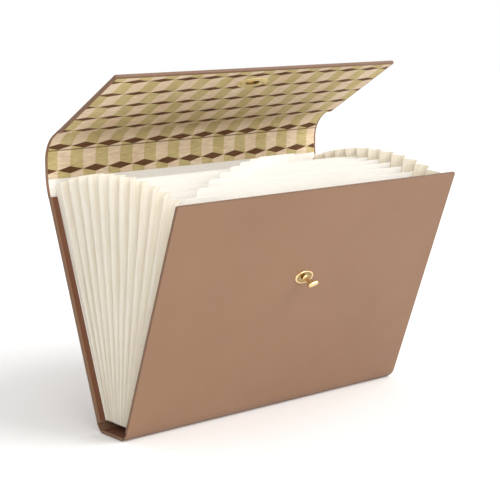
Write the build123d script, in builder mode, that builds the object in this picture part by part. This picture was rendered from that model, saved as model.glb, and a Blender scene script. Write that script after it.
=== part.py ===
from build123d import *
import os
from math import cos, radians, sin, tan

# An expanding file folder that stands open on its spine, in mm and degrees.
# +X runs along the width, +Y points to the back and +Z points up.
# The origin is the middle of the spine's underside, on the surface it stands on.

# Sheets that the folder is made of
board_t = 2.0
wrap_t = 0.6
lining_t = 0.4
leaf_t = 0.5
pleat_t = 0.4

# Spine and covers
cover_width = 340.0
spine_depth = 31.0
hinge_run = 8.0
front_length = 229.0
back_length = 213.0
lean = 20.0
turn_in = 14.0

# Top fold and flap, as bent when the folder stands open
rear_fold_radius = 70.0
top_straight = 9.0
top_fold_radius = 31.0
top_fold_angle = 59.0
front_fold_length = 9.3
flap_length = 107.7
lining_inset = 2.5
middle_fold_shares = (0.16, 0.5)

# Accordion: leaves that fan out between the covers, and the pleats at their edges
pocket_count = 12
accordion_height = 10.0
cover_to_leaf = 0.3
leaf_length = 223.0
leaf_arch = 5.0
leaf_inset = 8.0
back_leaf_overlap = 4.0
inner_fold_inset = 20.0
outer_fold_inset_top = 8.0
outer_fold_inset_bottom = 8.5
leaf_to_pleat = 0.15
divider_drop = 8.0
tab_width = 38.0
tab_rise = 8.5
tab_corner = 3.0
tab_inset = 3.2

# Turn lock on the front cover
lock_drop = 91.7
lock_plate_width = 22.0
lock_plate_height = 13.0
lock_plate_t = 0.9
lock_plate_edge = 0.35
shank_r = 1.4
shank_play = 0.3
collar_r = 3.0
collar_t = 1.3
neck_r = 2.1
neck_length = 9.6
knob_play = 0.3
bar_length = 11.6
bar_r = 2.5
bar_tilt = 15.0
web_foot_width = 5.4
web_top_width = 9.6
web_flare_rise = 8.3
web_t = 2.2
lock_washer_r = 6.0
lock_washer_t = 0.5
washer_play = 0.3

# Slotted eyelet in the flap
eyelet_to_edge = 24.2
eyelet_width = 37.0
eyelet_height = 18.0
eyelet_t = 0.8
eyelet_edge = 0.3
eyelet_backing_t = 0.6
slot_width = 15.6
slot_height = 6.6
sleeve_t = 0.5
sleeve_play = 0.2
rivet_r = 1.3
rivet_rise = 0.5
rivet_spacing = 26.0

# Sizes worked out from those above
cover_t = board_t + 2 * wrap_t
cover_half = cover_width / 2
spine_half = spine_depth / 2
cover_foot = spine_half + hinge_run
lean_sin = sin(radians(lean))
lean_cos = cos(radians(lean))
inner_face = cover_foot + (accordion_height - hinge_run) * tan(radians(lean)) - cover_t / lean_cos
leaf_foot = inner_face - (cover_to_leaf + leaf_t / 2) / lean_cos

front_plane = Plane((0, -cover_foot, hinge_run), x_dir=(1, 0, 0), z_dir=(0, -lean_cos, -lean_sin))
back_plane = Plane((0, cover_foot, hinge_run), x_dir=(-1, 0, 0), z_dir=(0, lean_cos, -lean_sin))

os.makedirs("parts", exist_ok=True)


def flat_sheet(plane, width, length, thickness, mode=Mode.ADD):
    """Add a sheet that starts at the plane's X axis and lies under the plane."""
    with BuildSketch(plane) as outline:
        Rectangle(width, length, align=(Align.CENTER, Align.MIN))
    extrude(outline.sketch, amount=-thickness, mode=mode)


def save(piece, name):
    """Label a finished piece and write it."""
    piece.part.label = name
    export_step(piece.part, f"parts/{name}.step")


# Spine: a board between its leatherette wrap and a dark paper liner
spine_inside = cover_width - 2 * turn_in

with BuildPart() as spine_wrap:
    with BuildSketch(Plane.YZ.offset(-cover_half)):
        Rectangle(spine_depth, cover_t, align=(Align.CENTER, Align.MIN))
    extrude(amount=cover_width)
    with BuildSketch(Plane.XY.offset(wrap_t)):
        Rectangle(cover_width - 2 * wrap_t, spine_depth)
    extrude(amount=board_t, mode=Mode.SUBTRACT)
    with BuildSketch(Plane.XY.offset(wrap_t + board_t)):
        Rectangle(spine_inside, spine_depth)
    extrude(amount=wrap_t, mode=Mode.SUBTRACT)
save(spine_wrap, "spine_wrap")

with BuildPart() as spine_board:
    with BuildSketch(Plane.XY.offset(wrap_t)):
        Rectangle(cover_width - 2 * wrap_t, spine_depth)
    extrude(amount=board_t)
save(spine_board, "spine_board")

with BuildPart() as spine_liner:
    with BuildSketch(Plane.XY.offset(wrap_t + board_t)):
        Rectangle(spine_inside, spine_depth)
    extrude(amount=wrap_t)
save(spine_liner, "spine_liner")


# Hinge strips: the leatherette between the spine and each cover
strip_inner_y = cover_foot - wrap_t * lean_cos
strip_inner_z = hinge_run + wrap_t * lean_sin

for name, side in (("front_hinge_strip", -1), ("rear_hinge_strip", 1)):
    with BuildPart() as hinge_strip:
        with BuildSketch(Plane.YZ.offset(-cover_half)):
            with BuildLine():
                Polyline(
                    (side * spine_half, 0),
                    (side * cover_foot, hinge_run),
                    (side * strip_inner_y, strip_inner_z),
                    (side * spine_half, wrap_t),
                    close=True,
                )
            make_face()
        extrude(amount=cover_width)
    save(hinge_strip, name)


# Front cover: leatherette turned in over three edges of the board
board_width = cover_width - 2 * wrap_t
inside_width = cover_width - 2 * turn_in
front_inside_length = front_length - turn_in
front_board_face = front_plane.offset(-wrap_t)
front_inner_face = front_plane.offset(-wrap_t - board_t)
lock_height = front_length - lock_drop
lock_plane = Plane(front_plane.location * Location((0, lock_height, 0)))
shank_hole_r = shank_r + shank_play

with BuildPart() as front_wrap:
    flat_sheet(front_plane, cover_width, front_length, cover_t)
    flat_sheet(front_board_face, board_width, front_length - wrap_t, board_t, Mode.SUBTRACT)
    flat_sheet(front_inner_face, inside_width, front_inside_length, wrap_t, Mode.SUBTRACT)
    with Locations(lock_plane):
        Hole(shank_hole_r, depth=cover_t)
save(front_wrap, "front_wrap")

with BuildPart() as front_board:
    flat_sheet(front_board_face, board_width, front_length - wrap_t, board_t)
    with Locations(lock_plane):
        Hole(shank_hole_r, depth=cover_t)
save(front_board, "front_board")

with BuildPart() as front_liner:
    flat_sheet(front_inner_face, inside_width, front_inside_length, wrap_t)
    with Locations(lock_plane):
        Hole(lock_washer_r + washer_play, depth=cover_t)
save(front_liner, "front_liner")


# Back cover: the leatherette runs on over the top, so only its sides are turned in
back_board_face = back_plane.offset(-wrap_t)
back_inner_face = back_plane.offset(-wrap_t - board_t)

with BuildPart() as back_wrap:
    flat_sheet(back_plane, cover_width, back_length, cover_t)
    flat_sheet(back_board_face, board_width, back_length, board_t, Mode.SUBTRACT)
    flat_sheet(back_inner_face, inside_width, back_length, wrap_t, Mode.SUBTRACT)
save(back_wrap, "back_wrap")

with BuildPart() as back_board:
    flat_sheet(back_board_face, board_width, back_length, board_t)
save(back_board, "back_board")

with BuildPart() as back_liner:
    flat_sheet(back_inner_face, inside_width, back_length, wrap_t)
save(back_liner, "back_liner")


# Top fold: bends back over the accordion and carries the flap
rear_center_y = cover_foot + back_length * lean_sin - rear_fold_radius * lean_cos
rear_center_z = hinge_run + back_length * lean_cos + rear_fold_radius * lean_sin
upright_y = rear_center_y + rear_fold_radius
top_center_y = upright_y - top_fold_radius
top_center_z = rear_center_z + top_straight
middle_start_share, middle_end_share = middle_fold_shares
middle_start = top_fold_angle * middle_start_share
middle_end = top_fold_angle * middle_end_share
lining_half = cover_half - lining_inset
fold_t = wrap_t + lining_t


def arc_band(center, outer_radius, thickness, start, size):
    """Draw a band between two arcs, as a face of the sketch that is being made."""
    with BuildSketch(Plane.YZ) as band:
        with BuildLine():
            outer = CenterArc(center, outer_radius, start, size)
            inner = CenterArc(center, outer_radius - thickness, start, size)
            Line(outer @ 0, inner @ 0)
            Line(outer @ 1, inner @ 1)
        make_face()
    return band.sketch


def across(profile, half_width):
    """Extrude a profile in the YZ plane to both sides."""
    extrude(profile, amount=half_width, both=True)


def upright_band(depth_in, thickness):
    """The straight stretch of the top fold, as a profile in the YZ plane."""
    with BuildSketch(Plane.YZ) as band:
        with Locations((upright_y - depth_in, rear_center_z)):
            Rectangle(thickness, top_straight, align=(Align.MAX, Align.MIN))
    return band.sketch


rear_center = (rear_center_y, rear_center_z)
top_center = (top_center_y, top_center_z)

with BuildPart() as rear_fold_wrap:
    across(arc_band(rear_center, rear_fold_radius, wrap_t, -lean, lean), cover_half)
save(rear_fold_wrap, "rear_fold_wrap")

with BuildPart() as rear_guard_strip:
    across(arc_band(rear_center, rear_fold_radius - wrap_t, lining_t, -lean, lean), lining_half)
save(rear_guard_strip, "rear_guard_strip")

with BuildPart() as top_spine_wrap:
    across(upright_band(0, wrap_t), cover_half)
    across(arc_band(top_center, top_fold_radius, wrap_t, 0, middle_start), cover_half)
save(top_spine_wrap, "top_spine_wrap")

with BuildPart() as top_spine_lining:
    across(upright_band(wrap_t, lining_t), lining_half)
    across(arc_band(top_center, top_fold_radius - wrap_t, lining_t, 0, middle_start), lining_half)
save(top_spine_lining, "top_spine_lining")

with BuildPart() as middle_fold_strip:
    middle_size = middle_end - middle_start
    across(arc_band(top_center, top_fold_radius, fold_t, middle_start, middle_size), cover_half)
save(middle_fold_strip, "middle_fold_strip")

with BuildPart() as upper_fold_wrap:
    upper_size = top_fold_angle - middle_end
    across(arc_band(top_center, top_fold_radius, wrap_t, middle_end, upper_size), cover_half)
save(upper_fold_wrap, "upper_fold_wrap")

with BuildPart() as upper_fold_lining:
    lining_radius = top_fold_radius - wrap_t
    across(arc_band(top_center, lining_radius, lining_t, middle_end, upper_size), lining_half)
save(upper_fold_lining, "upper_fold_lining")

# Flap: hangs on a limp strip at the end of the top fold
turn_sin = sin(radians(top_fold_angle))
turn_cos = cos(radians(top_fold_angle))
strip_start_y = top_center_y + top_fold_radius * turn_cos
strip_start_z = top_center_z + top_fold_radius * turn_sin
flap_start_y = strip_start_y - front_fold_length * turn_sin
flap_start_z = strip_start_z + front_fold_length * turn_cos
outward = (0, turn_cos, turn_sin)
strip_plane = Plane((0, strip_start_y, strip_start_z), x_dir=(-1, 0, 0), z_dir=outward)
flap_plane = Plane((0, flap_start_y, flap_start_z), x_dir=(-1, 0, 0), z_dir=outward)
flap_board_face = flap_plane.offset(-wrap_t)
flap_inner_face = flap_plane.offset(-wrap_t - board_t)
flap_lining_face = flap_plane.offset(-cover_t)
eyelet_plane = Plane(flap_plane.location * Location((0, flap_length - eyelet_to_edge, 0)))
flap_t = cover_t + lining_t


def cut_sleeve_slot():
    """Cut the slot that the eyelet's sleeve passes through."""
    clearance = sleeve_t + sleeve_play
    with BuildSketch(eyelet_plane) as slot:
        SlotOverall(slot_width + 2 * clearance, slot_height + 2 * clearance)
    extrude(slot.sketch, amount=-flap_t, mode=Mode.SUBTRACT)


with BuildPart() as front_fold_strip:
    flat_sheet(strip_plane, cover_width, front_fold_length, fold_t)
save(front_fold_strip, "front_fold_strip")

with BuildPart() as flap_wrap:
    flat_sheet(flap_plane, cover_width, flap_length, cover_t)
    flat_sheet(flap_board_face, board_width, flap_length - wrap_t, board_t, Mode.SUBTRACT)
    flat_sheet(flap_inner_face, inside_width, flap_length - turn_in, wrap_t, Mode.SUBTRACT)
    cut_sleeve_slot()
save(flap_wrap, "flap_wrap")

with BuildPart() as flap_board:
    flat_sheet(flap_board_face, board_width, flap_length - wrap_t, board_t)
    cut_sleeve_slot()
save(flap_board, "flap_board")

with BuildPart() as flap_lining:
    flat_sheet(flap_lining_face, 2 * lining_half, flap_length - lining_inset, lining_t)
    flat_sheet(flap_inner_face, inside_width, flap_length - turn_in, wrap_t)
    cut_sleeve_slot()
save(flap_lining, "flap_lining")

# Eyelet: a slotted oval plate outside with a sleeve through the flap, and a plate inside
with BuildPart() as eyelet_plate:
    with BuildSketch(eyelet_plane):
        Ellipse(eyelet_width / 2, eyelet_height / 2)
    extrude(amount=eyelet_t)
    chamfer(eyelet_plate.edges().group_by(Axis.Z)[-1], eyelet_edge)
    with BuildSketch(eyelet_plane):
        SlotOverall(slot_width + 2 * sleeve_t, slot_height + 2 * sleeve_t)
    extrude(amount=-flap_t)
    with BuildSketch(eyelet_plane.offset(eyelet_t)):
        SlotOverall(slot_width, slot_height)
    extrude(amount=-eyelet_t - flap_t, mode=Mode.SUBTRACT)
save(eyelet_plate, "eyelet_plate")

with BuildPart() as eyelet_backing:
    with BuildSketch(eyelet_plane.offset(-flap_t)):
        Ellipse(eyelet_width / 2, eyelet_height / 2)
        SlotOverall(slot_width, slot_height, mode=Mode.SUBTRACT)
    extrude(amount=-eyelet_backing_t)
    with BuildSketch(eyelet_plane.offset(-flap_t - eyelet_backing_t)):
        with GridLocations(rivet_spacing, 0, 2, 1):
            Circle(rivet_r)
    extrude(amount=-rivet_rise)
save(eyelet_backing, "eyelet_backing")


# Turn lock: an oval plate, and a T-shaped knob with a flared web, riveted to a washer inside
lock_section = Plane(lock_plane.origin, x_dir=lock_plane.x_dir, z_dir=-lock_plane.y_dir)
lock_axis = Axis(lock_plane.origin, lock_plane.z_dir)
washer_face = wrap_t + board_t
shank_depth = washer_face + lock_washer_t
neck_start = lock_plate_t + knob_play
bar_rise = lock_plate_t + neck_length + bar_r
bar_plane = Plane(lock_plane.location * Location((0, 0, bar_rise), (0, 0, bar_tilt)))
web_plane = Plane(bar_plane.origin, x_dir=bar_plane.x_dir, z_dir=-bar_plane.y_dir)
web_foot = neck_start + collar_t / 2 - bar_rise
web_flare = web_flare_rise - bar_rise

with BuildPart() as lock_plate:
    with BuildSketch(lock_plane):
        Ellipse(lock_plate_width / 2, lock_plate_height / 2)
        Circle(shank_hole_r, mode=Mode.SUBTRACT)
    extrude(amount=lock_plate_t)
    rim = lock_plate.faces().sort_by(lock_axis)[-1]
    chamfer(rim.outer_wire().edges(), lock_plate_edge)
save(lock_plate, "lock_plate")

with BuildPart() as turn_knob:
    with BuildSketch(lock_section):
        with BuildLine():
            Polyline(
                (0, -shank_depth),
                (shank_r, -shank_depth),
                (shank_r, neck_start),
                (collar_r, neck_start),
                (collar_r, neck_start + collar_t),
                (neck_r, neck_start + 2 * collar_t),
                (neck_r, bar_rise),
                (0, bar_rise),
                close=True,
            )
        make_face()
    revolve(axis=lock_axis)
    with BuildSketch(bar_plane):
        SlotOverall(bar_length, 2 * bar_r)
        Rectangle(bar_length, 2 * bar_r, align=(Align.CENTER, Align.MAX), mode=Mode.SUBTRACT)
    revolve(axis=Axis(bar_plane.origin, bar_plane.x_dir))
    with BuildSketch(web_plane):
        with BuildLine():
            Polyline(
                (-web_foot_width / 2, web_foot),
                (web_foot_width / 2, web_foot),
                (web_foot_width / 2, web_flare),
                (web_top_width / 2, 0),
                (-web_top_width / 2, 0),
                (-web_foot_width / 2, web_flare),
                close=True,
            )
        make_face()
    extrude(amount=web_t / 2, both=True)
save(turn_knob, "turn_knob")

with BuildPart() as lock_washer:
    with BuildSketch(lock_plane.offset(-washer_face)):
        Circle(lock_washer_r)
        Circle(shank_r, mode=Mode.SUBTRACT)
    extrude(amount=-lock_washer_t)
save(lock_washer, "lock_washer")


# Accordion
def fan_share(place):
    """1 at the back cover, 0 in the middle and -1 at the front cover."""
    return 1 - 2 * place / pocket_count


def leaf_plane(place):
    """The plane of a leaf, or of the middle of a pocket, with Y up along it and Z to the front."""
    angle = radians(lean * fan_share(place))
    return Plane(
        (0, leaf_foot * fan_share(place), accordion_height),
        x_dir=(1, 0, 0),
        z_dir=(0, -cos(angle), sin(angle)),
    )


def length_at(place):
    """The leaves' tops follow an arch that is highest in the middle."""
    return leaf_length + leaf_arch * (1 - fan_share(place) ** 2)


leaf_width = cover_width - 2 * leaf_inset
inner_fold_half = cover_half - inner_fold_inset
outer_fold_half_top = cover_half - outer_fold_inset_top
outer_fold_half_bottom = cover_half - outer_fold_inset_bottom
divider_half = inner_fold_half - cover_to_leaf
tab_reach = divider_half - tab_inset - tab_width / 2
back_leaf_length = back_length + back_leaf_overlap

with BuildPart() as back_leaf:
    flat_sheet(leaf_plane(0).offset(leaf_t / 2), leaf_width, back_leaf_length, leaf_t)
save(back_leaf, "back_leaf")

with BuildPart() as front_leaf:
    front_leaf_plane = leaf_plane(pocket_count).offset(leaf_t / 2)
    flat_sheet(front_leaf_plane, leaf_width, leaf_length, leaf_t)
save(front_leaf, "front_leaf")

for number in range(1, pocket_count):
    divider_top = length_at(number) - divider_drop
    tab_x = tab_reach * fan_share(number) / fan_share(1)
    with BuildPart() as divider:
        with BuildSketch(leaf_plane(number).offset(leaf_t / 2)):
            Rectangle(2 * divider_half, divider_top, align=(Align.CENTER, Align.MIN))
            with Locations((tab_x, divider_top - tab_corner)):
                Rectangle(tab_width, tab_rise + tab_corner, align=(Align.CENTER, Align.MIN))
            fillet(vertices().group_by(Axis.Y)[-1], tab_corner)
        extrude(amount=-leaf_t)
    save(divider, f"divider_{number:02d}")


bottom_gap = leaf_foot / pocket_count - leaf_t / 2 - leaf_to_pleat

for number in range(1, pocket_count + 1):
    middle = number - 0.5
    middle_plane = leaf_plane(middle)
    pleat_length = length_at(middle)
    spread = radians(lean / pocket_count) * pleat_length
    top_gap = bottom_gap + spread
    slope = (outer_fold_half_top - inner_fold_half) / top_gap
    floor_half = outer_fold_half_bottom - slope * bottom_gap
    with BuildPart() as gusset:
        with BuildLine(middle_plane) as panel:
            Polyline(
                (outer_fold_half_bottom, 0, 0),
                (floor_half, 0, bottom_gap),
                (inner_fold_half, pleat_length, top_gap),
                (outer_fold_half_top, pleat_length, 0),
                close=True,
            )
        extrude(Face(panel.wire()), amount=pleat_t)
        mirror(about=middle_plane)
        mirror(about=Plane.YZ)
        with BuildSketch(Plane(middle_plane.origin, x_dir=(1, 0, 0), z_dir=middle_plane.y_dir)):
            Rectangle(2 * floor_half, 2 * bottom_gap)
        extrude(amount=pleat_t)
    save(gusset, f"gusset_{number:02d}")
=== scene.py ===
from collections import namedtuple
from math import cos, pi, radians, sin, sqrt, tan
import bpy
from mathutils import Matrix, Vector, noise


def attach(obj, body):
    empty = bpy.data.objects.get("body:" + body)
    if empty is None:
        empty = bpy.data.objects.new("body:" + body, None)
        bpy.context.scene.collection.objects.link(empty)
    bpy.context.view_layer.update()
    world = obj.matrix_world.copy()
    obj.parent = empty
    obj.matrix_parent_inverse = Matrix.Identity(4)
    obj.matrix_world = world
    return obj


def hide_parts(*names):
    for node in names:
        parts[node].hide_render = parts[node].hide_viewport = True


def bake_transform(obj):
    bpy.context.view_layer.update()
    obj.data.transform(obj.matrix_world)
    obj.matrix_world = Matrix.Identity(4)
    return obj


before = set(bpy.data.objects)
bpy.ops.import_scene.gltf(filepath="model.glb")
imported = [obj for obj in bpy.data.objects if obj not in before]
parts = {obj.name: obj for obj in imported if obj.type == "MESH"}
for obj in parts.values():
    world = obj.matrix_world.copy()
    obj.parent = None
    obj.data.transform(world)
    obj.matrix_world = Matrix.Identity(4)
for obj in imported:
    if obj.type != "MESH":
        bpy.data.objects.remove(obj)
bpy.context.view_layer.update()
MM = 0.001

# Sizes shared with the part's source, in metres
COVER_HALF = 170 * MM
BOARD = 2 * MM
WRAP = 0.6 * MM
LINING = 0.4 * MM
COVER = BOARD + 2 * WRAP
LEAF = 0.5 * MM
SPINE_HALF = 15.5 * MM
HINGE = 8 * MM
FOOT = SPINE_HALF + HINGE
FRONT_LENGTH = 229 * MM
BACK_LENGTH = 213 * MM
LEAN_DEGREES = 20
LEAN = radians(LEAN_DEGREES)
PAPER_MARGIN = 2.5 * MM
LINING_HALF = COVER_HALF - PAPER_MARGIN

# The top fold: a wide arc at the rear, an upright stretch, a tighter arc and a limp strip
REAR_RADIUS = 70 * MM
TOP_STRAIGHT = 9 * MM
TOP_RADIUS = 31 * MM
TOP_ANGLE = 59
MIDDLE_FROM = TOP_ANGLE * 0.16
MIDDLE_TO = TOP_ANGLE * 0.5
STRIP_LENGTH = 9.3 * MM
FLAP_LENGTH = 107.7 * MM

# The accordion
POCKETS = 12
ACCORDION_Z = 10 * MM
LEAF_LENGTH = 223 * MM
LEAF_ARCH = 5 * MM
INNER_FOLD = COVER_HALF - 20 * MM
OUTER_FOLD_TOP = COVER_HALF - 8 * MM
OUTER_FOLD_BOTTOM = COVER_HALF - 8.5 * MM

# The lock on the front cover and the eyelet in the flap
LOCK_HEIGHT = FRONT_LENGTH - 91.7 * MM
LOCK_HALF_WIDTH = 11 * MM
LOCK_HALF_HEIGHT = 6.5 * MM
BAR_RISE = 13 * MM
BAR_TILT = radians(15)
BAR_HALF = 5.8 * MM
BAR_RADIUS = 2.5 * MM
EYELET_UP = FLAP_LENGTH - 24.2 * MM
EYELET_HALF_WIDTH = 18.5 * MM
EYELET_HALF_HEIGHT = 9 * MM
SLOT_HALF_WIDTH = 7.8 * MM
SLOT_HALF_HEIGHT = 3.3 * MM
RIVET_ACROSS = 13 * MM

# Sizes of the dressed shapes alone: edges and corners of the wrapped boards and their papers,
# the lining's thickness and the place of its crease, how far a bent strip reaches under the
# next one, and the width of pleated paper that a pocket takes
SKIN_EDGE = 0.8 * MM
BOARD_CORNER = 1.8 * MM
SPINE_CORNER = 1.2 * MM
PAPER_EDGE = 0.08 * MM
PAPER_CORNER = 1 * MM
PAPER_DEPTH = 0.2 * MM
SHOWN_LINING = 0.8 * LINING
CREASE_RUN = 19.5 * MM
TUCK = 1.2 * MM
TUCK_DEPTH = 0.05 * MM
POCKET_PAPER = 20 * MM

# A flat frame of its own for each cover: side along the width, up along it, out of its face.
# A stop is a place on a bent sheet's outside, with its outward direction and the run of the lining.
Flat = namedtuple("Flat", "origin side up out")
Stop = namedtuple("Stop", "y z out_y out_z run")
SIDE = Vector((1, 0, 0))

front_flat = Flat(
    Vector((0, -FOOT, HINGE)), SIDE,
    Vector((0, -sin(LEAN), cos(LEAN))), Vector((0, -cos(LEAN), -sin(LEAN))),
)
back_flat = Flat(
    Vector((0, FOOT, HINGE)), SIDE,
    Vector((0, sin(LEAN), cos(LEAN))), Vector((0, cos(LEAN), -sin(LEAN))),
)
spine_flat = Flat(Vector((0, 0, 0)), SIDE, Vector((0, 1, 0)), Vector((0, 0, -1)))

rear_y = FOOT + BACK_LENGTH * sin(LEAN) - REAR_RADIUS * cos(LEAN)
rear_z = HINGE + BACK_LENGTH * cos(LEAN) + REAR_RADIUS * sin(LEAN)
upright_y = rear_y + REAR_RADIUS
top_y = upright_y - TOP_RADIUS
top_z = rear_z + TOP_STRAIGHT
turn = radians(TOP_ANGLE)
flap_up = Vector((0, -sin(turn), cos(turn)))
flap_out = Vector((0, cos(turn), sin(turn)))
strip_start = Vector((0, top_y, top_z)) + TOP_RADIUS * flap_out
flap_flat = Flat(strip_start + STRIP_LENGTH * flap_up, SIDE, flap_up, flap_out)


def at(flat, across, up, out):
    """A point given in a flat frame."""
    return flat.origin + across * flat.side + up * flat.up + out * flat.out


# Materials
def srgb(red, green, blue):
    """Linear colour of an 8-bit display colour."""
    shares = [value / 255 for value in (red, green, blue)]
    linear = [s / 12.92 if s <= 0.04045 else ((s + 0.055) / 1.055) ** 2.4 for s in shares]
    return (*linear, 1)


class Shader:
    """A material's node tree with short calls for the nodes that are used here."""

    def __init__(self, name):
        self.material = bpy.data.materials.new(name)
        self.material.use_nodes = True
        self.tree = self.material.node_tree
        self.surface = self.tree.nodes["Principled BSDF"]
        self.place = self.tree.nodes.new("ShaderNodeTexCoord")

    def link(self, value, socket):
        if isinstance(value, bpy.types.NodeSocket):
            self.tree.links.new(value, socket)
        else:
            socket.default_value = value

    def math(self, operation, first, second=0.0, third=0.0):
        node = self.tree.nodes.new("ShaderNodeMath")
        node.operation = operation
        for value, socket in zip((first, second, third), node.inputs):
            self.link(value, socket)
        return node.outputs[0]

    def rim(self):
        """How rubbed or tarnished the surface is, or how much painted shade it takes, as its mesh says.
        """
        node = self.tree.nodes.new("ShaderNodeAttribute")
        node.attribute_name = "rim"
        return node.outputs["Fac"]

    def stretched(self, x, y, z, place="Object"):
        node = self.tree.nodes.new("ShaderNodeMapping")
        self.tree.links.new(self.place.outputs[place], node.inputs["Vector"])
        node.inputs["Scale"].default_value = (x, y, z)
        return node.outputs[0]

    def noise(self, scale, detail=3.0, rough=0.5, vector=None):
        node = self.tree.nodes.new("ShaderNodeTexNoise")
        self.tree.links.new(vector or self.place.outputs["Object"], node.inputs["Vector"])
        node.inputs["Scale"].default_value = scale
        node.inputs["Detail"].default_value = detail
        node.inputs["Roughness"].default_value = rough
        return node.outputs["Fac"]

    def cells(self, scale):
        node = self.tree.nodes.new("ShaderNodeTexVoronoi")
        node.feature = "SMOOTH_F1"
        self.tree.links.new(self.place.outputs["Object"], node.inputs["Vector"])
        node.inputs["Scale"].default_value = scale
        return node.outputs["Distance"]

    def spread(self, value, low, high, start=0.3, stop=0.7):
        node = self.tree.nodes.new("ShaderNodeMapRange")
        self.link(value, node.inputs["Value"])
        for name, number in zip(("From Min", "From Max", "To Min", "To Max"), (start, stop, low, high)):
            node.inputs[name].default_value = number
        return node.outputs["Result"]

    def mix(self, share, first, second):
        node = self.tree.nodes.new("ShaderNodeMix")
        node.data_type = "RGBA"
        self.link(share, node.inputs[0])
        self.link(first, node.inputs[6])
        self.link(second, node.inputs[7])
        return node.outputs[2]

    def bump(self, height, strength, distance, below=None):
        node = self.tree.nodes.new("ShaderNodeBump")
        self.link(height, node.inputs["Height"])
        node.inputs["Strength"].default_value = strength
        node.inputs["Distance"].default_value = distance
        if below is not None:
            self.tree.links.new(below, node.inputs["Normal"])
        return node.outputs["Normal"]

    def finish(self, colour, roughness, normal, **fixed):
        self.link(colour, self.surface.inputs["Base Color"])
        self.link(roughness, self.surface.inputs["Roughness"])
        self.tree.links.new(normal, self.surface.inputs["Normal"])
        for name, number in fixed.items():
            self.surface.inputs[name.replace("_", " ")].default_value = number
        return self.material


def leatherette(name, light, dark, edge):
    """Smooth leatherette with a fine pebble, a soft unevenness of tone and rubbed, darker edges."""
    shader = Shader(name)
    cloud = shader.noise(9, 3)
    pebble = shader.cells(1500)
    pores = shader.noise(2600, 2, 0.6)
    tone = shader.spread(cloud, 0, 1)
    colour = shader.mix(tone, light, dark)
    grained = shader.mix(shader.spread(pores, 0, 0.16), colour, dark)
    rubbed = shader.spread(shader.noise(260, 3), 0.7, 1.0)
    worn = shader.mix(shader.math("MULTIPLY", shader.rim(), rubbed), grained, edge)
    soft = shader.bump(shader.noise(35, 2), 0.1, 2 * MM)
    grain = shader.bump(pebble, 0.16, 0.12 * MM, soft)
    roughness = shader.spread(shader.noise(60, 3), 0.42, 0.54)
    return shader.finish(worn, roughness, grain, Specular_IOR_Level=0.35)


def paper(name, light, dark, fibre, rough=0.85):
    """Uncoated paper or card with faint fibres."""
    shader = Shader(name)
    fibres = shader.noise(fibre, 4, 0.65, shader.stretched(1, 1, 0.25))
    cloud = shader.noise(14, 2)
    tone = shader.math("ADD", shader.spread(fibres, 0, 0.5), shader.spread(cloud, 0, 0.5))
    normal = shader.bump(fibres, 0.12, 0.2 * MM)
    return shader.finish(shader.mix(tone, light, dark), rough, normal, Specular_IOR_Level=0.2)


def pleated_paper():
    """Thin cream paper that lets some light through, with fine wrinkles along its folds, which also
    darken it as painted shade.
    """
    shader = Shader("cream_pleats")
    wrinkles = shader.noise(520, 3, 0.6, shader.stretched(1, 0.03, 1, "UV"))
    cloud = shader.noise(14, 2)
    # Painted shade: the wrinkles darken the paper along their lines; the cloud is a random tone.
    tone = shader.math(
        "ADD", shader.spread(wrinkles, 0, 0.7, 0.35, 0.65), shader.spread(cloud, 0, 0.3)
    )
    colour = shader.mix(tone, srgb(250, 242, 226), srgb(233, 221, 201))
    normal = shader.bump(wrinkles, 0.4, 0.6 * MM)
    return shader.finish(
        colour, 0.85, normal, Specular_IOR_Level=0.2,
        Subsurface_Weight=0.5, Subsurface_Scale=1.5 * MM, Subsurface_Radius=(1.0, 0.95, 0.85),
    )


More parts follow.
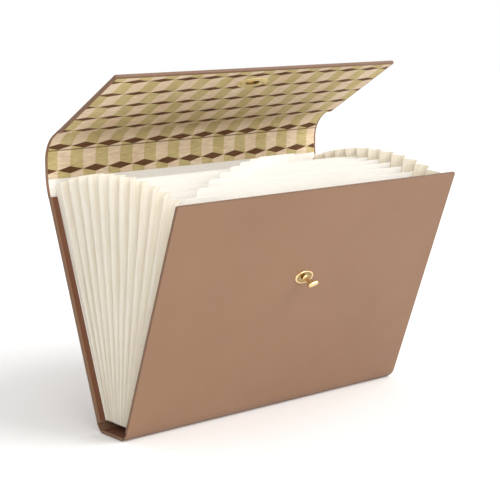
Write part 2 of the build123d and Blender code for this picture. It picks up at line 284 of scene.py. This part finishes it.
def blocks_lining():
    """Ribbed paper printed with tall tumbling blocks, a traditional pattern of parallelograms, with a
    painted shade line along its crease.
    """
    half_width = 14.25 * MM
    face_height = 20 * MM
    rise = 3.4 * MM
    shader = Shader("patterned_lining")
    split = shader.tree.nodes.new("ShaderNodeSeparateXYZ")
    shader.tree.links.new(shader.place.outputs["UV"], split.inputs[0])
    across, up = split.outputs[0], split.outputs[1]
    wobble = shader.math("MULTIPLY", shader.noise(180, 2), 0.6 * MM)
    across = shader.math("ADD", across, wobble)

    # Where a point lies in its pair of strips, and how far the slanted edges rise there
    strips = shader.math("DIVIDE", across, half_width)
    strip_side = shader.math("FLOORED_MODULO", strips, 2.0)
    from_middle = shader.math("ABSOLUTE", shader.math("SUBTRACT", strip_side, 1.0))
    slant = shader.math("MULTIPLY", from_middle, rise)

    # Which of two staggered rows of blocks it lies in, and how high above the row's foot
    two_rows = 2 * (face_height + rise)
    first = shader.math("FLOORED_MODULO", shader.math("SUBTRACT", up, slant), two_rows)
    block = shader.math("MULTIPLY_ADD", slant, -2.0, face_height + 2 * rise)
    second = shader.math("SUBTRACT", first, block)
    in_second = shader.math("GREATER_THAN", second, 0.0)
    height = shader.math("SUBTRACT", first, shader.math("MULTIPLY", in_second, block))
    on_top = shader.math("GREATER_THAN", height, face_height)
    right = shader.math("GREATER_THAN", strip_side, 1.0)
    odd = shader.math("ABSOLUTE", shader.math("SUBTRACT", right, in_second))

    cloud = shader.spread(shader.noise(40, 3), 0, 1)
    khaki = shader.mix(cloud, srgb(224, 206, 152), srgb(208, 188, 130))
    cream = shader.mix(cloud, srgb(252, 232, 204), srgb(243, 215, 181))
    brown = shader.mix(cloud, srgb(118, 82, 54), srgb(94, 60, 36))
    faces = shader.mix(odd, khaki, cream)
    blocks = shader.mix(on_top, faces, brown)
    ribs = shader.noise(900, 3, 0.6, shader.stretched(0.12, 1, 1))
    ribbed = shader.mix(shader.spread(ribs, 0, 0.3), blocks, srgb(90, 66, 40))
    # Painted shade: a thin dark line along the crease, which the bump also dents.
    from_crease = shader.math("ABSOLUTE", shader.math("SUBTRACT", up, CREASE_RUN))
    crease_dent_and_shade = shader.spread(from_crease, 0.8, 0.0, 0.2 * MM, 0.9 * MM)
    crease_shaded_colour = shader.mix(crease_dent_and_shade, ribbed, srgb(92, 62, 38))
    folded = shader.math("SUBTRACT", ribs, crease_dent_and_shade)
    normal = shader.bump(folded, 0.25, 0.3 * MM)
    return shader.finish(crease_shaded_colour, 0.8, normal, Specular_IOR_Level=0.2)


def brass(name, light, dark, gloss):
    """Polished brass, slightly dulled and scratched by use, darker where its mesh asks for tarnish or
    for painted shade.
    """
    shader = Shader(name)
    scratches = shader.noise(900, 4, 0.7, shader.stretched(1, 0.2, 0.2))
    cloud = shader.noise(220, 3)
    clean = shader.mix(shader.spread(cloud, 0, 1), light, dark)
    # The dark colour is tarnish on the lock's plate and the eyelet's slot, and painted shade on the
    # knob.
    colour = shader.mix(shader.rim(), clean, srgb(108, 82, 38))
    roughness = shader.spread(scratches, gloss, gloss + 0.16)
    return shader.finish(colour, roughness, shader.bump(cloud, 0.05, 0.2 * MM), Metallic=1.0)


leather = leatherette(
    "leatherette", srgb(145, 111, 86), srgb(139, 105, 81), srgb(116, 86, 65)
)
dark_paper = paper("dark_paper", srgb(128, 87, 66), srgb(111, 72, 53), 900, 0.75)
grey_board = paper("board", srgb(176, 160, 138), srgb(150, 134, 112), 1200)
cream_card = paper("cream_card", srgb(254, 252, 247), srgb(247, 243, 235), 420)
# A darker copy of the covers' dark paper, as painted shade inside the spine.
spine_paper_painted_shade = paper("spine_paper_painted_shade", srgb(116, 74, 54), srgb(96, 60, 43), 900, 0.75)
cream_pleats = pleated_paper()
lining = blocks_lining()
metal = brass("brass", srgb(249, 224, 174), srgb(237, 206, 150), 0.2)
# A paler copy of the brass for the eyelet's backing, as painted light under the flap.
brass_painted_light = brass("pale_brass_painted_light", srgb(255, 240, 188), srgb(252, 226, 160), 0.3)


# Mesh helpers
def make(name, vertices, faces, material, uvs=None, rims=None, sharp=40):
    """Link a smooth-shaded mesh whose edges are sharp only past an angle."""
    mesh = bpy.data.meshes.new(name)
    mesh.from_pydata([tuple(v) for v in vertices], [], faces)
    mesh.update()
    if uvs is not None:
        layer = mesh.uv_layers.new(name="UVMap")
        for loop in mesh.loops:
            layer.data[loop.index].uv = uvs[loop.vertex_index]
    if rims is not None:
        mesh.attributes.new("rim", "FLOAT", "POINT").data.foreach_set("value", rims)
    mesh.materials.append(material)
    for polygon in mesh.polygons:
        polygon.use_smooth = True
    mesh.set_sharp_from_angle(angle=radians(sharp))
    piece = bpy.data.objects.new(name, mesh)
    bpy.context.scene.collection.objects.link(piece)
    return piece


def settle(piece, sharp=40):
    """Apply a piece's modifiers to its mesh."""
    graph = bpy.context.evaluated_depsgraph_get()
    mesh = bpy.data.meshes.new_from_object(piece.evaluated_get(graph))
    piece.modifiers.clear()
    piece.data = mesh
    mesh.set_sharp_from_angle(angle=radians(sharp))
    return piece


def tube_faces(rings, around, close=True):
    """Faces between rings of points, closed at both ends unless told otherwise."""
    faces = []
    for ring in range(rings - 1):
        for step in range(around):
            a = ring * around + step
            b = ring * around + (step + 1) % around
            faces.append((a, b, b + around, a + around))
    if close:
        faces.append(tuple(reversed(range(around))))
        faces.append(tuple((rings - 1) * around + step for step in range(around)))
    return faces


def merged(shapes):
    """Several shapes as one: their points, their faces and one more value for each point."""
    vertices, faces, values = [], [], []
    for points, loops, extra in shapes:
        first = len(vertices)
        vertices += points
        faces += [tuple(first + index for index in loop) for loop in loops]
        values += extra
    return vertices, faces, values


def rounded_outline(half, low, high, inset, corner):
    """Points round a rectangle with rounded corners, drawn in by an inset."""
    steps = 4
    smallest = 0.1 * MM
    radius = max(corner - inset, smallest)
    reach = inset + radius
    points = []
    corners = (
        (half - reach, high - reach, 0),
        (-half + reach, high - reach, 90),
        (-half + reach, low + reach, 180),
        (half - reach, low + reach, 270),
    )
    for x, y, start in corners:
        for step in range(steps + 1):
            angle = radians(start + 90 * step / steps)
            points.append((x + radius * cos(angle), y + radius * sin(angle)))
    return points


def slab(name, flat, half, low, high, depths, edge, corner, material, run=0.0, joined=()):
    """A flat sheet or board with rounded edges, which are rubbed except where it is joined."""
    outer, inner = depths
    steps = 3
    face_inset = edge + 0.4 * MM
    rubbed_inset = 0.6 * edge
    joint_reach = 1.1 * MM
    rings = [(face_inset, outer)]
    for step in range(steps + 1):
        angle = radians(90 * step / steps)
        rings.append((edge * (1 - sin(angle)), outer + edge * (1 - cos(angle))))
    for step in range(steps + 1):
        angle = radians(90 * step / steps)
        rings.append((edge * (1 - cos(angle)), inner - edge * (1 - sin(angle))))
    rings.append((face_inset, inner))
    vertices, uvs, rims = [], [], []
    for inset, depth in rings:
        outline = rounded_outline(half, low, high, inset, corner)
        for across, up in outline:
            vertices.append(at(flat, across, up, -depth))
            uvs.append((across, run + up))
            free = all(abs(up - end) > joint_reach for end in joined)
            rims.append(float(inset < rubbed_inset and free))
    faces = tube_faces(len(rings), len(outline))
    return make(name, vertices, faces, material, uvs, rims)


def sheet_section(half, outer, inner):
    """Section of a sheet across the width, with its two edges rounded."""
    radius = (inner - outer) / 2
    middle = (inner + outer) / 2
    rubbed_width = 0.8 * MM
    flat_to = half - radius - rubbed_width
    steps = 4
    section = []
    for side, start in ((1, -90), (-1, 90)):
        section.append((side * flat_to, middle - side * radius, 0.0))
        for step in range(steps + 1):
            angle = radians(start + 180 * step / steps)
            x = side * (half - radius) + radius * cos(angle)
            section.append((x, middle + radius * sin(angle), 1.0))
        section.append((side * flat_to, middle + side * radius, 0.0))
    return section


def sweep(name, path, section, material):
    """A sheet whose section is carried along a path in the YZ plane."""
    vertices, uvs, rims = [], [], []
    for stop in path:
        for x, depth, rim in section:
            vertices.append((x, stop.y - depth * stop.out_y, stop.z - depth * stop.out_z))
            uvs.append((x, stop.run))
            rims.append(rim)
    return make(name, vertices, tube_faces(len(path), len(section)), material, uvs, rims)


def arc_path(center_y, center_z, radius, start, stop, run):
    """Stops along an arc, with the run measured on the lining's side."""
    degrees_apart = 1.5
    count = max(2, round((stop - start) / degrees_apart))
    path = []
    for step in range(count + 1):
        turned = (stop - start) * step / count
        angle = radians(start + turned)
        path.append(Stop(
            center_y + radius * cos(angle), center_z + radius * sin(angle),
            cos(angle), sin(angle), run + radians(turned) * (radius - WRAP - LINING),
        ))
    return path


def straight_path(start, end, out, run):
    """Two stops along a straight stretch."""
    length = (end - start).length
    return [
        Stop(start.y, start.z, out.y, out.z, run),
        Stop(end.y, end.z, out.y, out.z, run + length),
    ]


def tucked(stop, along):
    """A stop further along, a little inside the board that the sheet is glued to."""
    return stop._replace(
        y=stop.y + TUCK * along.y - TUCK_DEPTH * stop.out_y,
        z=stop.z + TUCK * along.z - TUCK_DEPTH * stop.out_z,
    )


def soft_path(start, bend, end):
    """Stops along a soft bend through three guide points, facing away from the folder."""
    count = 8
    side = 1 if end.y > start.y else -1
    path = []
    for step in range(count + 1):
        t = step / count
        point = (1 - t) ** 2 * start + 2 * t * (1 - t) * bend + t ** 2 * end
        along = (2 * (1 - t) * (bend - start) + 2 * t * (end - bend)).normalized()
        path.append(Stop(point.y, point.z, side * along.z, -side * along.y, 0.0))
    return path


def leave_out_slot(piece):
    """Cut the eyelet's slot through a piece of the flap."""
    margin = 0.7 * MM
    half_round = SLOT_HALF_HEIGHT + margin
    straight = SLOT_HALF_WIDTH - SLOT_HALF_HEIGHT
    steps = 16
    ring = []
    for end in (1, -1):
        for step in range(steps + 1):
            angle = radians(-90 + 180 * step / steps)
            across = end * (straight + half_round * cos(angle))
            ring.append((across, EYELET_UP + end * half_round * sin(angle)))
    reach = 2 * COVER
    vertices = [at(flap_flat, x, up, out) for out in (reach, -3 * reach) for x, up in ring]
    cutter = make("slot_cutter", vertices, tube_faces(2, len(ring)), leather)
    change = piece.modifiers.new("slot", "BOOLEAN")
    change.object = cutter
    change.operation = "DIFFERENCE"
    settle(piece)
    bpy.data.objects.remove(cutter)


# Covers, spine and flap
def covers():
    """Boards wrapped in leatherette, each with a paper glued inside over the turn-ins."""
    foot_margin = 1 * MM
    depths = (0, COVER - PAPER_DEPTH)
    glued = (depths[1], COVER)
    plan = (
        ("front", front_flat, FRONT_LENGTH, FRONT_LENGTH - PAPER_MARGIN, (0,)),
        ("back", back_flat, BACK_LENGTH, BACK_LENGTH - 0.3 * MM, (0, BACK_LENGTH)),
    )
    for name, flat, length, paper_top, joined in plan:
        body = f"{name}_cover"
        skin = slab(
            f"{name}_skin", flat, COVER_HALF, 0, length, depths, SKIN_EDGE, BOARD_CORNER,
            leather, joined=joined,
        )
        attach(skin, body)
        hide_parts(f"{name}_wrap")
        inside = slab(
            f"{name}_inside", flat, LINING_HALF, foot_margin, paper_top, glued,
            PAPER_EDGE, PAPER_CORNER, dark_paper,
        )
        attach(inside, body)
        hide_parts(f"{name}_liner")

    skin = slab(
        "spine_skin", spine_flat, COVER_HALF, -SPINE_HALF, SPINE_HALF, depths,
        SKIN_EDGE, SPINE_CORNER, leather, joined=(-SPINE_HALF, SPINE_HALF),
    )
    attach(skin, "spine")
    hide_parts("spine_wrap")
    # The spine's paper reaches nearly to the ends and takes the darker copy of the paper, as painted
    # shade in the gap beside the pleats.
    paper_half = SPINE_HALF - foot_margin
    inside = slab(
        "spine_inside", spine_flat, COVER_HALF - foot_margin, -paper_half, paper_half,
        glued, PAPER_EDGE, PAPER_CORNER, spine_paper_painted_shade,
    )
    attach(inside, "spine")
    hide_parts("spine_liner")


def hinge_strips():
    """The leatherette that bends softly between the spine and each cover, with painted shade on its
    inside face.
    """
    bend_out, bend_rise = 4.6 * MM, 1.4 * MM
    # Painted shade: the strip's inside face takes the darker rubbed-edge colour all over.
    section = [
        (x, depth, 1.0 if depth > WRAP / 2 else rim)
        for x, depth, rim in sheet_section(COVER_HALF, 0, WRAP)
    ]
    for name, flat, side in (("front", front_flat, -1), ("rear", back_flat, 1)):
        spine_end = Vector((0, side * (SPINE_HALF - TUCK), TUCK_DEPTH))
        cover_end = at(flat, 0, TUCK, -TUCK_DEPTH)
        bend = Vector((0, side * (SPINE_HALF + bend_out), bend_rise))
        path = soft_path(spine_end, bend, cover_end)
        strip = sweep(f"{name}_hinge", path, section, leather)
        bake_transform(strip)
        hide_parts(f"{name}_hinge_strip")


def top_fold():
    """The leatherette and the patterned lining, bending back over the accordion to the flap."""
    # The lining reaches so many stops down the rear fold, and the guard strip covers the rest
    lined_stops = 4
    upright = straight_path(
        Vector((0, upright_y, rear_z)), Vector((0, upright_y, top_z)), Vector((0, 1, 0)), 0.0
    )
    rear_run = -LEAN * (REAR_RADIUS - WRAP - LINING)
    rear = arc_path(rear_y, rear_z, REAR_RADIUS, -LEAN_DEGREES, 0, rear_run)
    low = arc_path(top_y, top_z, TOP_RADIUS, 0, MIDDLE_FROM, TOP_STRAIGHT)
    middle = arc_path(top_y, top_z, TOP_RADIUS, MIDDLE_FROM, MIDDLE_TO, low[-1].run)
    high = arc_path(top_y, top_z, TOP_RADIUS, MIDDLE_TO, TOP_ANGLE, middle[-1].run)
    strip = straight_path(strip_start, flap_flat.origin, flap_out, high[-1].run)
    leather_section = sheet_section(COVER_HALF, 0, WRAP)
    lining_section = sheet_section(LINING_HALF, WRAP, WRAP + SHOWN_LINING)
    stretches = (
        ("rear_fold", rear, "back_cover", "top_spine", "rear_fold_wrap", None),
        ("top_spine", upright + low[1:], "top_spine", None, "top_spine_wrap", "top_spine_lining"),
        ("middle_fold", middle, "top_spine", "upper_fold", "middle_fold_strip", None),
        ("upper_fold", high, "upper_fold", None, "upper_fold_wrap", "upper_fold_lining"),
        ("front_fold", strip, "upper_fold", "flap", "front_fold_strip", None),
    )
    for name, path, body, next_body, leather_node, lining_node in stretches:
        path_out, path_in = list(path), path
        if name == "rear_fold":
            path_out.insert(0, tucked(path[0], -back_flat.up))
            path_in = path[-lined_stops - 1:]
        if name == "front_fold":
            path_out.append(tucked(path[-1], flap_flat.up))
        outside = sweep(f"{name}_leather", path_out, leather_section, leather)
        pieces = [outside]
        if name == "rear_fold":
            guard = sweep(f"{name}_guard", path[:-lined_stops], lining_section, cream_card)
            pieces.append(guard)
        inside = sweep(f"{name}_lining", path_in, lining_section, lining)
        pieces.append(inside)
        for piece in pieces:
            if next_body is None:
                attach(piece, body)
            else:
                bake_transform(piece)
        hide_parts(leather_node)
        if name == "rear_fold":
            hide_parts("rear_guard_strip")
        elif lining_node is not None:
            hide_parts(lining_node)
    return strip[-1].run


def flap(run):
    """The flap: a wrapped board with a patterned paper of its own inside."""
    foot_margin = 0.2 * MM
    lining_edge = 0.12 * MM
    skin = slab(
        "flap_skin", flap_flat, COVER_HALF, 0, FLAP_LENGTH, (0, COVER), SKIN_EDGE, BOARD_CORNER,
        leather, joined=(0,),
    )
    leave_out_slot(skin)
    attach(skin, "flap")
    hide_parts("flap_wrap")
    # The paper is cut so that no row of blocks is lost behind the edge of the board
    pattern_shift = 7.2 * MM
    inside = slab(
        "flap_inside", flap_flat, LINING_HALF, foot_margin, FLAP_LENGTH - PAPER_MARGIN,
        (COVER, COVER + SHOWN_LINING), lining_edge, PAPER_CORNER, lining, run - pattern_shift,
    )
    leave_out_slot(inside)
    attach(inside, "flap")
    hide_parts("flap_lining")


# Accordion
def pocket_share(place):
    """1 at the back cover, 0 in the middle and -1 at the front cover."""
    return 1 - 2 * place / POCKETS


def top_at(place):
    """The leaves' tops follow an arch that is highest in the middle."""
    return LEAF_LENGTH + LEAF_ARCH * (1 - pocket_share(place) ** 2)


def pleat_grid(flat, foot_gap, number, end, walls):
    """The folded paper at one end of a pocket, as a grid of points."""
    spread = tan(LEAN / POCKETS)
    softness = 0.2
    pressed = 0.97
    ripple = 0.5 * MM
    between_ends = 0.3
    rows, columns = 24, 12
    vertices, faces, uvs = [], [], []
    for row in range(rows + 1):
        for column in range(columns + 1):
            # The place in the pocket, from -1 at the rear leaf to 1 at the front leaf
            place = -1 + 2 * column / columns
            up = top_at(number - 0.5 + place / 2) * row / rows
            gap = foot_gap + up * spread
            outer = OUTER_FOLD_BOTTOM + (OUTER_FOLD_TOP - OUTER_FOLD_BOTTOM) * row / rows
            sharp = sqrt(place * place + softness ** 2) - softness
            fold = 1 - sharp / (sqrt(1 + softness ** 2) - softness)
            if walls[0] and place < 0 or walls[1] and place > 0:
                fold = max(fold, pressed)

            # A slow unevenness that differs from pocket to pocket and from end to end
            drift = noise.noise(Vector((number * 7.3, up * 18, end * 3 + place * 0.4)))
            across = INNER_FOLD + (outer - INNER_FOLD) * fold + drift * ripple * fold
            shift = place * gap
            if place == -1:
                shift += walls[0]
            if place == 1:
                shift -= walls[1]
            vertices.append(at(flat, end * across, up, shift))
            uvs.append(((number + place / 2) * POCKET_PAPER, up + between_ends * end))
    for row in range(rows):
        for column in range(columns):
            first = row * (columns + 1) + column
            square = (first, first + 1, first + columns + 2, first + columns + 1)
            faces.append(square if end > 0 else square[::-1])
    return vertices, faces, uvs


def pocket_floor(flat, foot_gap, number):
    """The strip along a pocket's bottom, which sags between two leaves."""
    half = OUTER_FOLD_BOTTOM - 1.5 * MM
    rise, sag, width = 0.45 * MM, 0.5 * MM, 0.86 * foot_gap
    steps = 6
    vertices, uvs = [], []
    for x in (-half, half):
        for step in range(steps + 1):
            place = -1 + 2 * step / steps
            up = rise - sag * (1 - place * place)
            vertices.append(at(flat, x, up, place * width))
            uvs.append(((number + place / 2) * POCKET_PAPER, x))
    faces = [(first, first + steps + 1, first + steps + 2, first + 1) for first in range(steps)]
    return vertices, faces, uvs


def pleats():
    """One pocket after another: the pleats at both ends and the strip along the bottom."""
    thickness = 0.35 * MM
    leaf_glue = 0.3 * MM
    # The outermost pleats end on the face of the leaf that is glued to the cover
    wall = LEAF / 2 + 0.1 * MM
    foot_half = FOOT + (ACCORDION_Z - HINGE) * tan(LEAN) - COVER / cos(LEAN)
    foot_half -= (leaf_glue + LEAF / 2) / cos(LEAN)
    foot_gap = foot_half / POCKETS
    for number in range(1, POCKETS + 1):
        share = pocket_share(number - 0.5)
        angle = LEAN * share
        flat = Flat(
            Vector((0, foot_half * share, ACCORDION_Z)), SIDE,
            Vector((0, sin(angle), cos(angle))), Vector((0, -cos(angle), sin(angle))),
        )
        walls = (wall if number == 1 else 0, wall if number == POCKETS else 0)
        shapes = [pleat_grid(flat, foot_gap, number, end, walls) for end in (1, -1)]
        shapes.append(pocket_floor(flat, foot_gap, number))
        vertices, faces, uvs = merged(shapes)
        piece = make(f"pleats_{number:02d}", vertices, faces, cream_pleats, uvs, sharp=60)
        thick = piece.modifiers.new("thick", "SOLIDIFY")
        thick.thickness = thickness
        thick.offset = -1
        settle(piece, 60)
        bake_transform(piece)
        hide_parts(f"gusset_{number:02d}")


# Brass
def lathe(flat, up, profile, steps=40):
    """Points and faces of a profile of radius and height turned about an axis out of a face."""
    vertices = []
    for radius, out in profile:
        for step in range(steps):
            angle = 2 * pi * step / steps
            vertices.append(at(flat, radius * cos(angle), up + radius * sin(angle), out))
    return vertices, tube_faces(len(profile), steps)


def knob_neck():
    """The shank through the cover, the collar and the round neck."""
    profile = [
        (1.4 * MM, -2.9 * MM), (1.4 * MM, 1.0 * MM), (2.7 * MM, 1.2 * MM), (3.0 * MM, 1.5 * MM),
        (3.0 * MM, 1.8 * MM), (2.8 * MM, 2.2 * MM), (2.3 * MM, 2.8 * MM), (1.9 * MM, 4.2 * MM),
        (1.75 * MM, 7.0 * MM), (1.8 * MM, BAR_RISE),
    ]
    tarnish = 0.1
    vertices, faces = lathe(front_flat, LOCK_HEIGHT, profile)
    return vertices, faces, [tarnish] * len(vertices)


def knob_web(foot, along, beside):
    """The web that widens from the collar to the bar."""
    # Half widths, half thicknesses and heights in millimetres
    stops = (
        (2.7, 1.1, 1.9), (2.7, 1.05, 4.0), (2.7, 1.0, 6.0), (2.8, 1.0, 8.0), (3.3, 1.0, 9.3),
        (4.1, 1.05, 10.6), (4.7, 1.1, 12.0), (4.8, 1.1, 13.0),
    )
    steps = 32
    vertices, rims = [], []
    for half, thick, rise in stops:
        for step in range(steps):
            turned = 2 * pi * step / steps
            point = foot + half * MM * cos(turned) * along + thick * MM * sin(turned) * beside
            vertices.append(point + rise * MM * front_flat.out)
            # Painted shade: the web's two faces are darker than its edges.
            rims.append(0.75 * abs(sin(turned)) ** 1.5)
    return vertices, tube_faces(len(stops), steps), rims


def knob_bar(foot, along, beside):
    """The bar across the top of the web, with blunt round ends."""
    middle = foot + BAR_RISE * front_flat.out
    bluntness = 3
    tip = 0.05 * MM
    slices, steps = 28, 32
    vertices, rims = [], []
    for number in range(slices + 1):
        angle = pi * number / slices
        reach = -BAR_HALF * cos(angle)
        share = (1 - abs(cos(angle)) ** bluntness) ** (1 / bluntness)
        width = max(BAR_RADIUS * share, tip)
        for step in range(steps):
            turned = 2 * pi * step / steps
            offset = width * (cos(turned) * beside + sin(turned) * front_flat.out)
            vertices.append(middle + reach * along + offset)
            # A light tarnish all round, with painted shade on the bar's underside towards the cover.
            rims.append(0.1 + 0.4 * max(0.0, -sin(turned)))
    return vertices, tube_faces(slices + 1, steps), rims


def knob():
    """The turn knob, whose brass carries painted shade below the bar and on the web's two faces."""
    foot = at(front_flat, 0, LOCK_HEIGHT, 0)
    along = cos(BAR_TILT) * front_flat.side + sin(BAR_TILT) * front_flat.up
    beside = -sin(BAR_TILT) * front_flat.side + cos(BAR_TILT) * front_flat.up
    vertices, faces, rims = merged(
        (knob_neck(), knob_web(foot, along, beside), knob_bar(foot, along, beside))
    )
    piece = make("knob", vertices, faces, metal, rims=rims)
    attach(piece, "lock_knob")
    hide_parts("turn_knob")


def oval_ring(name, rings, material):
    """An oval ring, from shares of the way to the slot and heights, with a tarnished slot."""
    steps = 72
    squareness = 1.6
    straight = SLOT_HALF_WIDTH - SLOT_HALF_HEIGHT
    vertices, rims = [], []
    for share, out in rings:
        for step in range(steps):
            rims.append(1.0 if share == 1 else 0.0)
            angle = 2 * pi * step / steps
            oval = (EYELET_HALF_WIDTH * cos(angle), EYELET_HALF_HEIGHT * sin(angle))
            side = max(-1, min(1, squareness * cos(angle)))
            slot = (straight * side + SLOT_HALF_HEIGHT * cos(angle), SLOT_HALF_HEIGHT * sin(angle))
            x = oval[0] + (slot[0] - oval[0]) * share
            y = oval[1] + (slot[1] - oval[1]) * share
            vertices.append(at(flap_flat, x, EYELET_UP + y, out))
    faces = tube_faces(len(rings), steps, close=False)
    last = (len(rings) - 1) * steps
    faces += [
        (last + step, last + (step + 1) % steps, (step + 1) % steps, step) for step in range(steps)
    ]
    return make(name, vertices, faces, material, rims=rims)


def eyelet():
    """The slotted eyelet: an oval plate with a sleeve, its backing, and two rivet heads."""
    low = -COVER - LINING
    outside = oval_ring("eyelet_outer", (
        (0, 0), (0, 0.3 * MM), (0.06, 0.6 * MM), (0.25, 0.8 * MM), (0.7, 0.8 * MM),
        (0.9, 0.65 * MM), (1.0, 0.2 * MM), (1.0, low), (0.92, low), (0.92, 0),
    ), metal)
    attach(outside, "flap")
    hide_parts("eyelet_plate")
    # The backing takes the paler copy of the brass, as painted light under the flap.
    inside = oval_ring("eyelet_inner", (
        (0, low), (0, low - 0.3 * MM), (0.04, low - 0.55 * MM), (0.12, low - 0.6 * MM),
        (0.24, low - 0.38 * MM), (0.6, low - 0.35 * MM), (0.78, low - 0.58 * MM),
        (0.92, low - 0.5 * MM), (1.0, low - 0.1 * MM), (1.0, low),
    ), brass_painted_light)
    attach(inside, "flap")
    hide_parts("eyelet_backing")
    for side in (-1, 1):
        base = low - 0.55 * MM
        profile = [
            (1.3 * MM, base), (1.3 * MM, base - 0.1 * MM), (1.1 * MM, base - 0.32 * MM),
            (0.7 * MM, base - 0.46 * MM), (0.2 * MM, base - 0.5 * MM),
        ]
        center = flap_flat._replace(origin=flap_flat.origin + side * RIVET_ACROSS * SIDE)
        vertices, faces = lathe(center, EYELET_UP, profile, 24)
        head = make(f"rivet_{'right' if side > 0 else 'left'}", vertices, faces, metal)
        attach(head, "flap")


def lock_base():
    """The oval plate under the knob, dished inside a raised rim."""
    # Shares of the oval, heights in millimetres and how tarnished the brass is there
    profile = (
        (1, 0, 0), (1, 0.3, 0), (0.98, 0.62, 0), (0.94, 0.84, 0), (0.9, 0.88, 0),
        (0.86, 0.8, 0.2), (0.8, 0.5, 0.7), (0.72, 0.36, 0.75), (0.5, 0.3, 0.6),
        (0.2, 0.3, 0.6), (0.18, 0, 0.6),
    )
    steps = 64
    vertices, rims = [], []
    for share, out, tarnish in profile:
        for step in range(steps):
            angle = 2 * pi * step / steps
            across = LOCK_HALF_WIDTH * share * cos(angle)
            up = LOCK_HEIGHT + LOCK_HALF_HEIGHT * share * sin(angle)
            vertices.append(at(front_flat, across, up, out * MM))
            rims.append(tarnish)
    piece = make("lock_base", vertices, tube_faces(len(profile), steps), metal, rims=rims)
    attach(piece, "front_cover")
    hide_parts("lock_plate")


# Carried-over nodes
def dress_nodes():
    """Boards, leaves, dividers and the washer keep their CAD shape and get their materials."""
    finishes = {"lock_washer": metal, "front_leaf": cream_card, "back_leaf": cream_card}
    for board in ("spine_board", "front_board", "back_board", "flap_board"):
        finishes[board] = grey_board
    for number in range(1, POCKETS):
        finishes[f"divider_{number:02d}"] = cream_card
    for name, material in finishes.items():
        node = parts[name]
        for place in node.material_slots:
            place.material = material


# Surroundings
def pale_floor():
    """A white floor that gives back a little less light than it shows."""
    reach = 4.0
    corners = [(-reach, -reach, 0), (reach, -reach, 0), (reach, reach, 0), (-reach, reach, 0)]
    bounced, shown_light, shown_dark = [(grey, grey, grey, 1) for grey in (0.84, 0.98, 0.97)]
    shader = Shader("floor")
    tone = shader.spread(shader.noise(3, 2), 0, 1)
    shown = shader.mix(tone, shown_light, shown_dark)
    path = shader.tree.nodes.new("ShaderNodeLightPath")
    seen = shader.math("ADD", path.outputs["Is Camera Ray"], path.outputs["Is Glossy Ray"])
    colour = shader.mix(seen, bounced, shown)
    grain = shader.bump(shader.noise(300), 0.02, 0.1 * MM)
    floor = make("floor", corners, [(0, 1, 2, 3)], shader.finish(colour, 0.9, grain))


def studio_world():
    """An even ambient light, behind which the background is white."""
    world = bpy.data.worlds.new("studio")
    bpy.context.scene.world = world
    world.use_nodes = True
    nodes, links = world.node_tree.nodes, world.node_tree.links
    ambient = nodes["Background"]
    ambient.inputs["Color"].default_value = (1, 0.995, 0.985, 1)
    ambient.inputs["Strength"].default_value = 0.78
    seen = nodes.new("ShaderNodeBackground")
    seen.inputs["Color"].default_value = (1, 1, 1, 1)
    seen.inputs["Strength"].default_value = 1.0
    path = nodes.new("ShaderNodeLightPath")
    either = nodes.new("ShaderNodeMath")
    links.new(path.outputs["Is Camera Ray"], either.inputs[0])
    links.new(path.outputs["Is Glossy Ray"], either.inputs[1])
    choose = nodes.new("ShaderNodeMixShader")
    links.new(either.outputs[0], choose.inputs[0])
    links.new(ambient.outputs[0], choose.inputs[1])
    links.new(seen.outputs[0], choose.inputs[2])
    links.new(choose.outputs[0], nodes["World Output"].inputs[0])


def lamps():
    """A soft key light from the front right, and lamps at the front left and the right end."""
    key_angle = radians(40)
    area_size = 1.2
    target = Vector((0, 0, 0.2))
    plan = (
        ("key", "SUN", (0.75, -1.0, 1.2), 1.85),
        ("fill", "AREA", (-0.9, -1.5, 0.5), 8.0),
        ("side", "AREA", (1.7, 0.0, 0.6), 7.0),
    )
    for name, kind, place, energy in plan:
        data = bpy.data.lights.new(name, kind)
        data.energy = energy
        if kind == "SUN":
            data.angle = key_angle
        else:
            data.size = area_size
        lamp = bpy.data.objects.new(name, data)
        lamp.location = place
        aim = target - lamp.location
        lamp.rotation_euler = aim.to_track_quat("-Z", "Y").to_euler()
        bpy.context.scene.collection.objects.link(lamp)


def camera():
    """The photograph's view, as fitted to the corners of the covers, the spine and the flap."""
    down, turned = radians(10.672), radians(-40.072)
    data = bpy.data.cameras.new("camera")
    data.lens = 104.16
    data.sensor_width = 36
    eye = bpy.data.objects.new("camera", data)
    eye.location = (-0.882688, -1.042025, 0.409615)
    eye.rotation_euler = (pi / 2 - down, 0, turned)
    bpy.context.scene.collection.objects.link(eye)
    bpy.context.scene.camera = eye


covers()
hinge_strips()
flap(top_fold())
pleats()
knob()
lock_base()
eyelet()
dress_nodes()
pale_floor()
studio_world()
lamps()
camera()
bpy.context.scene.view_settings.view_transform = "Standard"
